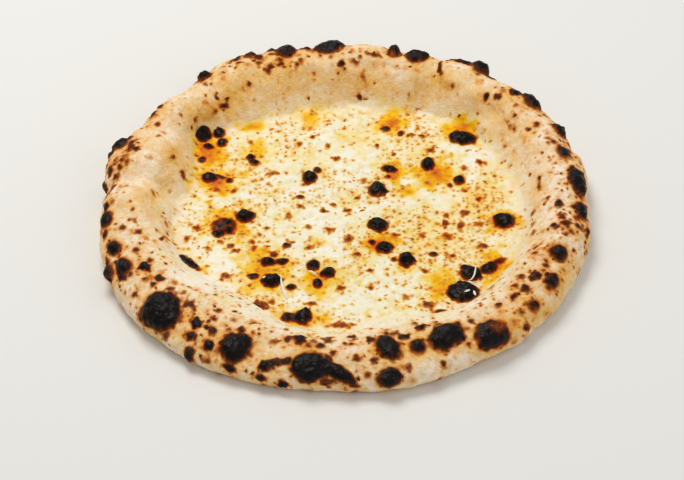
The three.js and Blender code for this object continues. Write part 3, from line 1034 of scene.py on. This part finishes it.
under_places = np.array([[EDGE_PLACE / 2], [0.0]])
under_rings = rim_point(cheese_turns[None, :], under_places)
under_rings[..., 2] -= 2 * EDGE_SINK
under = np.zeros(under_rings.shape[:2])
top_fields = {
    "burn": cheese_fields["burn"],
    "singe": cheese_fields["singe"],
    "oil": patches_at(bare_cheese, OIL_PATCHES),
    "bare": patches_at(bare_cheese, BARE_PATCHES),
    "cheesy": 1 - (1 - film_strength(cheese_turns)) * thin,
    "toast_light_and_shade": edge_toast_light_and_shade,
}
cheese = closed_skin(
    "melted_cheese",
    np.concatenate([top_rings, under_rings]),
    (0, 0, float(top_rings[0, :, 2].mean())),
    (0, 0, BASE_THICKNESS - 2 * EDGE_SINK),
    {name: np.concatenate([values, under]) for name, values in top_fields.items()},
)

# %% [markdown]
# ## Pale shreds
# A few shreds fell on late and stayed whole and pale. Each is a flat oval profile carried along a short path
# of points that lie on the cheese or over a burnt blister.

# %% Pale shreds
SHRED_SIDES = 8
SHRED_STEPS = 14
SHRED_THICKNESS = 1.0

# width in mm, then X, Y and height above the table of each point
SHREDS = [
    (1.6, [(-40.5, -58, 10.2), (-39.6, -65.5, 9.0), (-38.4, -70, 8.2), (-36, -78, 8.0)]),
    (1.5, [(-23.5, -53, 9.0), (-20.8, -54.4, 9.6), (-17.7, -56.2, 8.6)]),
    (2.2, [(-51.8, -59.8, 9.6), (-48.9, -60, 10.4)]),
    (1.1, [
        (81.8, -50.4, 11.6), (82.1, -53.8, 12.0), (81.1, -59, 11.0), (79.2, -61.7, 9.6), (77.4, -61.9, 9.4),
    ]),
    (1.5, [(76, -64.4, 9.8), (77.8, -63.8, 10.0), (79.1, -66.4, 11.2), (81.4, -64.4, 10.0)]),
    (1.6, [(74.5, -75.9, 12.6), (78.4, -73.3, 12.2)]),
    (1.8, [(80.1, -73.4, 11.4), (81.3, -77.1, 10.6)]),
]


def shred(width, path):
    """An oval profile carried along straight stretches between the points, thinner at both ends: the width
    at a share s of the way is the square root of sin(pi s)."""
    path = np.array(path)
    share = np.linspace(0, 1, SHRED_STEPS)
    at = share * (len(path) - 1)
    middle = np.stack([np.interp(at, np.arange(len(path)), path[:, k]) for k in range(3)], axis=-1)
    ahead = np.gradient(middle, axis=0)
    ahead /= np.linalg.norm(ahead, axis=1, keepdims=True)
    side = np.cross(ahead, [0.0, 0.0, 1.0])
    side /= np.linalg.norm(side, axis=1, keepdims=True)
    up = np.cross(side, ahead)
    swing = np.arange(SHRED_SIDES) * 2 * np.pi / SHRED_SIDES
    taper = np.sqrt(np.sin(np.pi * np.clip(share, 0.02, 0.98)))[:, None, None]
    flat = np.cos(swing)[None, :, None] * side[:, None] * width / 2
    thick = np.sin(swing)[None, :, None] * up[:, None] * SHRED_THICKNESS / 2
    return middle[:, None] + taper * (flat + thick)


def tube_faces(first):
    """Quads round a tube whose points start at a number, with a lid on each end."""
    ring = np.arange(SHRED_SIDES)
    start = first + SHRED_SIDES * np.arange(SHRED_STEPS - 1)[:, None]
    beyond = np.roll(ring, -1)
    after = start + SHRED_SIDES
    quads = np.stack([start + ring, start + beyond, after + beyond, after + ring], axis=-1)
    last = first + SHRED_SIDES * (SHRED_STEPS - 1)
    return quads.reshape(-1, 4).tolist() + [(first + ring[::-1]).tolist(), (last + ring).tolist()]


tubes = [shred(*row) for row in SHREDS]
shred_faces = [face for k in range(len(tubes)) for face in tube_faces(k * SHRED_STEPS * SHRED_SIDES)]
shreds = smooth_piece("pale_shreds", np.concatenate(tubes).reshape(-1, 3), shred_faces)

# %% [markdown]
# ## Flecks
# Small bubbles that browned are too many to place by hand. A Voronoi pattern splits space into cells with
# one point each. A round fleck is drawn about the point in some of the cells, with a soft halo round it. The
# scale of every pattern is 1000 divided by its size in millimetres, because Blender counts in metres.

# %% Flecks
RAREST = 0.96
LEAST_RADIUS = 0.1
BEND = 3.2 * MM


def flecks(tree, under, at, cell, largest, rare, stain_code, stops, dimensions="3D"):
    """Lay flecks over a colour. A cell has a fleck if its random number is above the share called rare, or
    above RAREST where that is less, so that the numbers above never run out. The fleck's radius grows with
    that number up to the largest, counted in cells. Its middle is the darkest, and a wide stain fades out
    round it."""
    spots = put(tree, "TexVoronoi", {"Vector": at, "Scale": 1000 / cell}, None, voronoi_dimensions=dimensions)
    fate, shade = put(tree, "SeparateColor", {0: spots.outputs["Color"]}, None).outputs[:2]
    scarce = put(tree, "Math", {0: rare, 1: RAREST}, operation="MINIMUM")
    radius = put(tree, "MapRange", {
        "Value": fate, "From Min": scarce, "From Max": 1.0, "To Min": LEAST_RADIUS, "To Max": largest,
    }, clamp=False)
    inside = put(tree, "Math", {0: radius, 1: spots.outputs["Distance"]}, operation="SUBTRACT")
    halo = put(tree, "MapRange", {"Value": inside, "From Min": -0.3, "From Max": 0.05, "To Max": 0.9})
    stain = {0: halo, 6: under, 7: linear(stain_code)}
    stained = put(tree, "Mix", stain, 2, data_type="RGBA", blend_type="MULTIPLY")
    cover = put(tree, "MapRange", {"Value": inside, "From Min": -0.02, "From Max": 0.17, "To Max": 0.97})
    depth = put(tree, "MapRange", {"Value": inside, "From Max": largest, "To Max": 0.55})
    tone = put(tree, "Math", {0: shade, 1: 0.5, 2: depth}, operation="MULTIPLY_ADD")
    brown = put(tree, "ValToRGB", {"Fac": tone}, stops=stops)
    return put(tree, "Mix", {0: cover, 6: stained, 7: brown}, 2, data_type="RGBA")


def bent_place(tree, place):
    """The place in space pushed about, to bend round flecks: noise of 3 mm, less its mean, times BEND."""
    crook = put(tree, "TexNoise", {"Vector": place, "Scale": 1000 / 3, "Detail": 2.0}, "Color")
    shift = put(tree, "VectorMath", {0: crook, 1: (0.5, 0.5, 0.5)}, operation="SUBTRACT")
    return put(tree, "VectorMath", {0: shift, 1: (BEND, BEND, BEND), 2: place}, operation="MULTIPLY_ADD")


# %% [markdown]
# ## Skin of the dough and cream of the cheese
# The cheese thins out into the dough, and a film of it creeps up the dough, so neither colour may stop at a
# line. Both materials therefore mix the same two colours, and a field on each mesh says how much cheese
# there is. The patterns are read from the place in space, so they run on from one mesh to the other.

# %% Dough skin and cheese cream
def dough_skin(tree, place):
    """Pale to toasted dough: mottling about 24 mm across, patches of 7 and 3.4 mm and a grain of 1.6 mm,
    made browner by the fields called toast_light_and_shade and singe. The first also holds painted shade,
    which browns the dough, and painted light, which makes it paler."""
    # browner with toast and with painted shade, paler with painted light
    toast_light_and_shade = put(tree, "Attribute", out="Fac", attribute_name="toast_light_and_shade")
    singe = put(tree, "Attribute", out="Fac", attribute_name="singe")
    browning = put(tree, "Math", {0: toast_light_and_shade, 1: 0.3, 2: -0.455}, operation="MULTIPLY_ADD")
    browning = put(tree, "Math", {0: singe, 1: 0.27, 2: browning}, operation="MULTIPLY_ADD")
    for size, share in ((24, 0.75), (7, 0.45), (3.4, 0.35), (1.6, 0.45)):
        noise = put(tree, "TexNoise", {"Vector": place, "Scale": 1000 / size, "Detail": 3.0})
        browning = put(tree, "Math", {0: noise, 1: share, 2: browning}, operation="MULTIPLY_ADD")
    return put(tree, "ValToRGB", {"Fac": browning}, stops=[
        (0.36, "#f9ebda"),
        (0.51, "#f5debe"),
        (0.67, "#efcc97"),
        (0.83, "#eec076"),
        (1.0, "#e4ab50"),
    ])


def cheese_cream(tree, place):
    """Cream with clouds about 16 mm across and curds of 4 mm, and over it oil that goes from yellow to
    orange as the field called oil grows, blotted by 6 mm. Gives the colour and how far oil covers the
    cream."""
    cloud = put(tree, "TexNoise", {"Vector": place, "Scale": 1000 / 16, "Detail": 4.0})
    curd = put(tree, "TexNoise", {"Vector": place, "Scale": 1000 / 4, "Detail": 3.0})
    blot = put(tree, "TexNoise", {"Vector": place, "Scale": 1000 / 6, "Detail": 3.0})
    clouded = put(tree, "Math", {0: cloud, 1: 0.85, 2: -0.1}, operation="MULTIPLY_ADD")
    richness = put(tree, "Math", {0: curd, 1: 0.4, 2: clouded}, operation="MULTIPLY_ADD")
    cream = put(tree, "ValToRGB", {"Fac": richness}, stops=[
        (0.38, "#f7f2e4"),
        (0.5, "#f3edd5"),
        (0.61, "#f1e5ba"),
        (0.74, "#eed175"),
    ])
    oil = put(tree, "Attribute", out="Fac", attribute_name="oil")
    blotted = put(tree, "Math", {0: blot, 1: 0.44, 2: -0.22}, operation="MULTIPLY_ADD")
    oily = put(tree, "Math", {0: oil, 1: blotted}, operation="ADD")
    oil_colour = put(tree, "ValToRGB", {"Fac": oily}, stops=[
        (0.15, "#f4de86"),
        (0.38, "#f2cb38"),
        (0.6, "#f2bb0c"),
        (0.8, "#e79200"),
        (1.0, "#cf6c00"),
    ])
    cover = put(tree, "MapRange", {"Value": oily, "From Min": 0.08, "From Max": 0.5})
    return put(tree, "Mix", {0: cover, 6: cream, 7: oil_colour}, 2, data_type="RGBA"), cover


def browned_bubbles(tree, place, under, cheesy):
    """Golden and brown bubbles over a colour: gathered in clusters about 28 mm apart, more of them in oil
    and round burnt spots, fewer where the cheese is thin or bare and none where there is none."""
    oil = put(tree, "Attribute", out="Fac", attribute_name="oil")
    singe = put(tree, "Attribute", out="Fac", attribute_name="singe")
    bare = put(tree, "Attribute", out="Fac", attribute_name="bare")
    cluster = put(tree, "TexNoise", {"Vector": place, "Scale": 1000 / 28, "Detail": 2.0})
    rare = put(tree, "MapRange", {
        "Value": cluster, "From Min": 0.42, "From Max": 0.6, "To Min": 1.56, "To Max": 1.1,
    })
    for field, share in ((cheesy, -0.6), (oil, -0.45), (singe, -0.2), (bare, 1.0)):
        rare = put(tree, "Math", {0: field, 1: share, 2: rare}, operation="MULTIPLY_ADD")
    golden_stops = [(0.1, "#e0a73a"), (0.5, "#cd892a"), (0.95, "#a65c18")]
    brown_stops = [(0.1, "#dd9a38"), (0.45, "#c16e20"), (0.9, "#7d390f")]
    bent = bent_place(tree, place)
    browned = under
    for cell, largest, stops in ((3.2, 0.34, golden_stops), (5.4, 0.34, brown_stops)):
        browned = flecks(tree, browned, bent, cell, largest, rare, "#f9d27e", stops, "2D")
    shown = put(tree, "MapRange", {"Value": cheesy, "From Min": 0.05, "From Max": 0.3})
    return put(tree, "Mix", {0: shown, 6: under, 7: browned}, 2, data_type="RGBA")


def cheesy_skin(tree, place):
    """The dough's skin with as much cheese over it as the field called cheesy says, or as the oil covers,
    and the bubbles that browned in it."""
    cheesy = put(tree, "Attribute", out="Fac", attribute_name="cheesy")
    rich, oiled = cheese_cream(tree, place)
    laid = put(tree, "Math", {0: cheesy, 1: oiled}, operation="MAXIMUM")
    skin = put(tree, "Mix", {0: laid, 6: dough_skin(tree, place), 7: rich}, 2, data_type="RGBA")
    return browned_bubbles(tree, place, skin, cheesy)


# %% [markdown]
# ## Scorching
# Char could be one black laid over everything. Real char keeps a trace of what it was, so here the burnt
# colours are tints that are multiplied on to the skin, from white where nothing burnt down to near black.

# %% Scorching
def scorched(tree, place, under, heat, fray_size, fray_gain, fray_least, tints):
    """Burn a colour: the heat times a noise that frays its edges picks a tint, and the tint multiplies the
    colour. The noise is gain times itself plus the least. Gives the burnt colour and the frayed heat."""
    fray = put(tree, "TexNoise", {"Vector": place, "Scale": 1000 / fray_size, "Detail": 2.0})
    fray_share = put(tree, "Math", {0: fray, 1: fray_gain, 2: fray_least}, operation="MULTIPLY_ADD")
    frayed = put(tree, "Math", {0: heat, 1: fray_share}, operation="MULTIPLY")
    tint = put(tree, "ValToRGB", {"Fac": frayed}, stops=tints)
    burnt = put(tree, "Mix", {0: 1.0, 6: under, 7: tint}, 2, data_type="RGBA", blend_type="MULTIPLY")
    return burnt, frayed


# %% [markdown]
# ## Baked dough
# Dough baked at very high heat has a dry, floury skin that is pale where it stayed thin and tan where it
# faced the fire. Burnt bubbles go through orange-brown and dark brown to a black with some gloss. The
# material starts from a pale skin, lays flecks over it, and then reads how burnt each place is from the
# mesh.

# %% Baked dough: skin and flecks
baked, tree = fresh_material("baked_wheat_dough")
place = put(tree, "TexCoord", out="Object")
burn, singe, flecked_here, hearth = [
    put(tree, "Attribute", out="Fac", attribute_name=field)
    for field in ("burn", "singe", "flecked", "hearth")
]

# few flecks on plain skin, many where it is flecked or singed
plenty = put(tree, "Math", {0: singe, 1: 0.5, 2: flecked_here}, operation="MULTIPLY_ADD")
rare = put(tree, "Math", {0: plenty, 1: -0.7, 2: 0.89}, operation="MULTIPLY_ADD")
dough_browns = [(0.1, "#c67c30"), (0.4, "#8a4216"), (0.75, "#3a1a0c")]
bent = bent_place(tree, place)
flecked = cheesy_skin(tree, place)
for cell, largest in ((4.0, 0.43), (7.0, 0.46)):
    flecked = flecks(tree, flecked, bent, cell, largest, rare, "#f3c88a", dough_browns)
print("nodes of the dough's skin:", len(tree.nodes))

# %% Baked dough: burnt places
# Under the pizza the hearth burns round spots about 16 mm apart. Edges are frayed by a noise of 4 mm.
leopard = put(tree, "TexNoise", {"Vector": place, "Scale": 1000 / 16, "Detail": 2.0})
stamped = put(tree, "MapRange", {"Value": leopard, "From Min": 0.5, "From Max": 0.72, "To Max": 0.9})
stamp = put(tree, "Math", {0: stamped, 1: hearth}, operation="MULTIPLY")
heat = put(tree, "Math", {0: burn, 1: stamp}, operation="MAXIMUM")
colour, frayed = scorched(tree, place, flecked, heat, fray_size=4, fray_gain=1.8, fray_least=0.15, tints=[
    (0.0, "#ffffff"),
    (0.1, "#eccca2"),
    (0.2, "#cc9e70"),
    (0.33, "#946042"),
    (0.48, "#5a3828"),
    (0.7, "#2a1b13"),
    (0.92, "#0b0807"),
])
print("nodes with the burnt places:", len(tree.nodes))

# %% Baked dough: floury and charred surface
# Flour gives plain skin a tooth of 1.5 mm. Char has less of it, wrinkles of 2.2 mm instead, and some gloss.
tooth = put(tree, "TexNoise", {"Vector": place, "Scale": 1000 / 1.5, "Detail": 4.0})
floury = put(tree, "MapRange", {"Value": burn, "From Max": 0.6, "To Min": 1.0, "To Max": 0.2})
grain = put(tree, "Math", {0: tooth, 1: floury}, operation="MULTIPLY")
grained = put(tree, "Bump", {"Height": grain, "Strength": 0.7, "Distance": 1.0 * MM})
wrinkle = put(tree, "TexNoise", {"Vector": place, "Scale": 1000 / 2.2, "Detail": 3.0})
crumple = put(tree, "Math", {0: wrinkle, 1: burn}, operation="MULTIPLY")
rough_skin = put(tree, "Bump", {
    "Height": crumple, "Normal": grained, "Strength": 0.8, "Distance": 0.9 * MM,
})
roughness = put(tree, "MapRange", {
    "Value": frayed, "From Min": 0.4, "From Max": 0.8, "To Min": 0.78, "To Max": 0.38,
})
dough = put(tree, "BsdfPrincipled", {
    "Base Color": colour,
    "Roughness": roughness,
    "Specular IOR Level": 0.14,
    "Normal": rough_skin,
})
put(tree, "OutputMaterial", {"Surface": dough}, None)
crust.data.materials.append(baked)
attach(crust, "root")
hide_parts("crust")
print("baked dough nodes:", len(tree.nodes))

# %% [markdown]
# ## Melted cheese
# Melted cheese is creamy and softly shiny. Fat runs out of it as yellow oil, which turns orange round the
# burnt spots, and small bubbles brown all over it. All of that is in the skin that it shares with the dough,
# so only its own char, curds and gloss are added here.

# %% Melted cheese
melted, tree = fresh_material("melted_browned_cheese")
place = put(tree, "TexCoord", out="Object")
burn = put(tree, "Attribute", out="Fac", attribute_name="burn")
creamy = cheesy_skin(tree, place)
colour, frayed = scorched(tree, place, creamy, burn, fray_size=3, fray_gain=1.5, fray_least=0.25, tints=[
    (0.0, "#ffffff"),
    (0.09, "#f3c868"),
    (0.2, "#d5852e"),
    (0.35, "#964a1c"),
    (0.52, "#5c2d15"),
    (0.74, "#2d1e16"),
    (0.95, "#0e0a09"),
])
curd = put(tree, "TexNoise", {"Vector": place, "Scale": 1000 / 4, "Detail": 3.0})
lumpy = put(tree, "Bump", {"Height": curd, "Strength": 0.25, "Distance": 0.9 * MM})
roughness = put(tree, "MapRange", {
    "Value": frayed, "From Min": 0.55, "From Max": 0.85, "To Min": 0.45, "To Max": 0.32,
})
fat = put(tree, "BsdfPrincipled", {
    "Base Color": colour,
    "Roughness": roughness,
    "Specular IOR Level": 0.11,
    "Normal": lumpy,
})
put(tree, "OutputMaterial", {"Surface": fat}, None)
cheese.data.materials.append(melted)
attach(cheese, "root")
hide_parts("cheese")
print("melted cheese nodes:", len(tree.nodes))

# %% [markdown]
# ## Grated cheese
# The shreds on top are cut, not melted: plain, pale and a little waxy.

# %% Grated cheese
grated, tree = fresh_material("grated_hard_cheese")
wax = put(tree, "BsdfPrincipled", {
    "Base Color": linear("#f5eadb"),
    "Roughness": 0.4,
    "Specular IOR Level": 0.4,
})
put(tree, "OutputMaterial", {"Surface": wax}, None)
shreds.data.materials.append(grated)
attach(shreds, "root")
print("shreds:", len(SHREDS))
